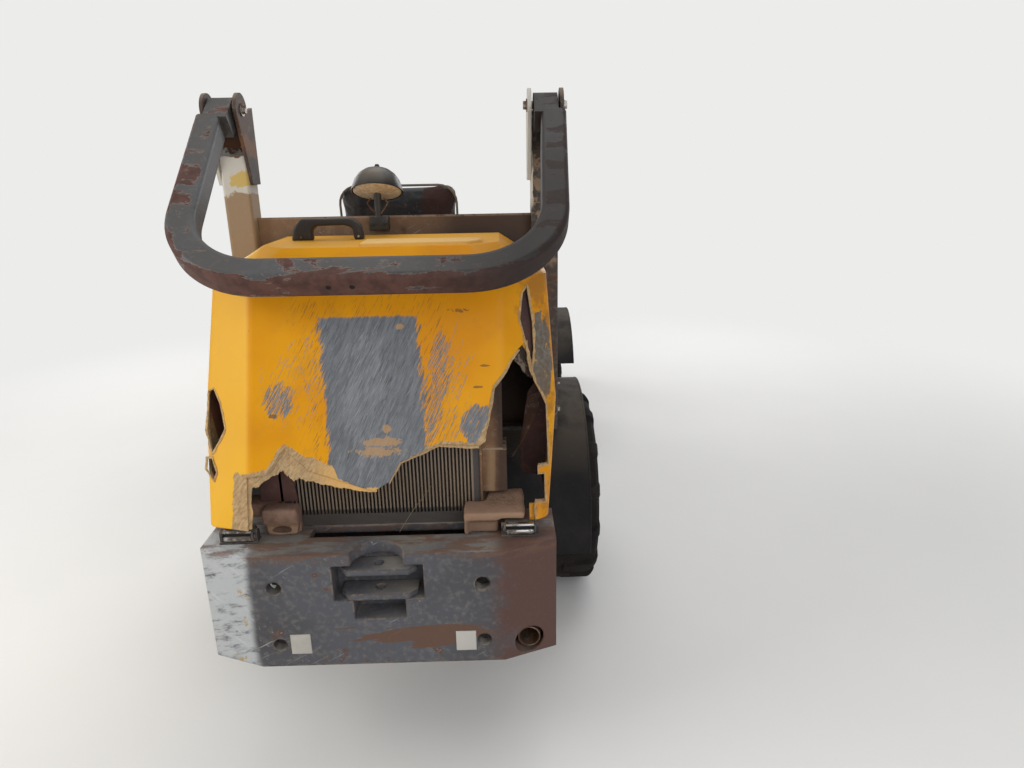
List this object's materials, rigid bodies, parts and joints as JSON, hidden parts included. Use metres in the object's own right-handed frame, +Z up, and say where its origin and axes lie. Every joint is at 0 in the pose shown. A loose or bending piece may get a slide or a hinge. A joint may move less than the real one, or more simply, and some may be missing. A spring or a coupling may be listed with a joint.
{
  "type": "compact articulated wheel loader",
  "caption": "Small articulated wheel loader with a torn yellow hood, a folding roll bar lowered over it, an open seat, lift boom and bucket, hinged at its middle.",
  "frame": {"origin": "on the floor, midway between the counterweight rear face and the bucket cutting edge", "axes": "+Y forward to the bucket, +X to the right of the seated operator, +Z up"},
  "size_m": [1.4, 3.55, 1.6929],
  "materials": {
    "weight_paint": "dark grey paint, scratched",
    "chassis_paint": "black-grey paint, satin",
    "axle_paint": "painted casting",
    "engine_iron": "oily iron",
    "radiator_metal": "dusty fins",
    "shroud_paint": "rust-brown sheet",
    "exhaust_steel": "heat-stained",
    "hinge_steel": "black",
    "hinge_chrome": "worn plating",
    "pad_foam": "torn brown foam rubber",
    "fender_plastic": "black textured plastic",
    "rollbar_paint": "dark grey paint, rusting",
    "bulkhead_paint": "dusty brown",
    "lamp_plastic": "black",
    "lamp_glass": "frosted lens",
    "hood_paint": "orange-yellow gel coat, scraped",
    "seat_vinyl": "black vinyl, cracked",
    "grip_plastic": "black grip",
    "handle_plastic": "black moulded",
    "bucket_paint": "worn black paint, bright edge",
    "rod_chrome": "hard chrome",
    "tyre_rubber": "black rubber",
    "rim_paint": "grey-white paint"
  },
  "bodies": {
    "rear_frame": {"counterweight": "weight_paint", "tow_hitch": "weight_paint", "rear_chassis": "chassis_paint", "rear_axle": "axle_paint", "engine_block": "engine_iron", "radiator": "radiator_metal", "radiator_shroud": "shroud_paint", "exhaust_pipe": "exhaust_steel", "hinge_brackets": "hinge_steel", "hood_pads": "pad_foam", "rear_fenders": "fender_plastic", "deck_posts": "rollbar_paint", "bulkhead": "bulkhead_paint", "work_lamp": "lamp_plastic", "lamp_lens": "lamp_glass", "seat_box": "hood_paint", "seat_cushion": "seat_vinyl", "seat_back": "seat_vinyl", "floor_plate": "chassis_paint", "dash_cowl": "fender_plastic", "steering_column": "chassis_paint", "steering_wheel": "grip_plastic", "control_console": "fender_plastic", "control_lever": "grip_plastic"},
    "hood_body": {"hood": "hood_paint", "hood_handle": "handle_plastic", "hinge_covers": "hinge_chrome"},
    "roll_bar_body": {"roll_bar": "rollbar_paint"},
    "front_frame": {"front_chassis": "chassis_paint", "steer_lugs": "chassis_paint", "front_axle": "axle_paint", "front_fenders": "fender_plastic"},
    "boom_body": {"boom": "hood_paint"},
    "bucket_body": {"bucket": "bucket_paint", "tool_carrier": "chassis_paint"},
    "lift_barrel_body": {"lift_barrels": "chassis_paint"},
    "lift_rod_body": {"lift_rods": "rod_chrome"},
    "tilt_barrel_body": {"tilt_barrel": "chassis_paint"},
    "tilt_rod_body": {"tilt_rod": "rod_chrome"},
    "steer_barrel_body": {"steer_barrel": "chassis_paint"},
    "steer_rod_body": {"steer_rod": "rod_chrome"},
    "wheel_rear_left": {"tyre_rear_left": "tyre_rubber", "rim_rear_left": "rim_paint"},
    "wheel_rear_right": {"tyre_rear_right": "tyre_rubber", "rim_rear_right": "rim_paint"},
    "wheel_front_left": {"tyre_front_left": "tyre_rubber", "rim_front_left": "rim_paint"},
    "wheel_front_right": {"tyre_front_right": "tyre_rubber", "rim_front_right": "rim_paint"}
  },
  "joints": [
    {"name": "wheel_rear_left_spin", "type": "hinge", "parent": "rear_frame", "child": "wheel_rear_left", "pos_m": [-0.518, -0.815, 0.345], "axis": [-1, 0, 0], "continuous": true},
    {"name": "wheel_rear_right_spin", "type": "hinge", "parent": "rear_frame", "child": "wheel_rear_right", "pos_m": [0.518, -0.815, 0.345], "axis": [-1, 0, 0], "continuous": true},
    {"name": "wheel_front_left_spin", "type": "hinge", "parent": "front_frame", "child": "wheel_front_left", "pos_m": [-0.518, 0.605, 0.345], "axis": [-1, 0, 0], "continuous": true},
    {"name": "wheel_front_right_spin", "type": "hinge", "parent": "front_frame", "child": "wheel_front_right", "pos_m": [0.518, 0.605, 0.345], "axis": [-1, 0, 0], "continuous": true},
    {"name": "hood_tilt", "type": "hinge", "parent": "rear_frame", "child": "hood_body", "pos_m": [0, -1.695, 0.653], "axis": [1, 0, 0], "range_deg": [0, 8]},
    {"name": "roll_bar_fold", "type": "hinge", "parent": "rear_frame", "child": "roll_bar_body", "pos_m": [0, -1.146, 1.649], "axis": [-1, 0, 0], "range_deg": [0, 126.9]},
    {"name": "articulation", "type": "hinge", "parent": "rear_frame", "child": "front_frame", "pos_m": [0, -0.085, 0.41], "axis": [0, 0, 1], "range_deg": [-40, 40]},
    {"name": "boom_lift", "type": "hinge", "parent": "front_frame", "child": "boom_body", "pos_m": [0, 0.175, 1.15], "axis": [1, 0, 0], "range_deg": [0, 80]},
    {"name": "bucket_tilt", "type": "hinge", "parent": "boom_body", "child": "bucket_body", "pos_m": [0, 1.165, 0.215], "axis": [-1, 0, 0], "range_deg": [-35, 100]},
    {"name": "lift_barrel_swing", "type": "hinge", "parent": "front_frame", "child": "lift_barrel_body", "pos_m": [0, 0.245, 0.4], "axis": [1, 0, 0], "range_deg": [0, 15.03]},
    {"name": "lift_rod_slide", "type": "slide", "parent": "lift_barrel_body", "child": "lift_rod_body", "axis": [0, 0.4418, 0.8971], "range_m": [0, 0.4692]},
    {"name": "tilt_barrel_swing", "type": "hinge", "parent": "boom_body", "child": "tilt_barrel_body", "pos_m": [0, 0.735, 0.93], "axis": [1, 0, 0], "range_deg": [-0.09, 0.17]},
    {"name": "tilt_rod_slide", "type": "slide", "parent": "tilt_barrel_body", "child": "tilt_rod_body", "axis": [0, 0.5867, -0.8098], "range_m": [-0.0415, 0.1166]},
    {"name": "steer_barrel_swing", "type": "hinge", "parent": "rear_frame", "child": "steer_barrel_body", "pos_m": [0.23, -0.475, 0.37], "axis": [0, 0, 1], "range_deg": [-6.99, 6.99]},
    {"name": "steer_rod_slide", "type": "slide", "parent": "steer_barrel_body", "child": "steer_rod_body", "axis": [-0.1157, 0.9933, 0], "range_m": [-0.1234, 0.1234]}
  ],
  "couplings": [
    {"joint": "lift_barrel_swing", "follows": "boom_lift", "ratio": 0.18724},
    {"joint": "lift_rod_slide", "follows": "boom_lift", "m_per_rad": 0.33529},
    {"joint": "tilt_barrel_swing", "follows": "bucket_tilt", "ratio": 0.001196},
    {"joint": "tilt_rod_slide", "follows": "bucket_tilt", "m_per_rad": 0.066256},
    {"joint": "steer_barrel_swing", "follows": "articulation", "ratio": 0.1736},
    {"joint": "steer_rod_slide", "follows": "articulation", "m_per_rad": 0.17526}
  ]
}
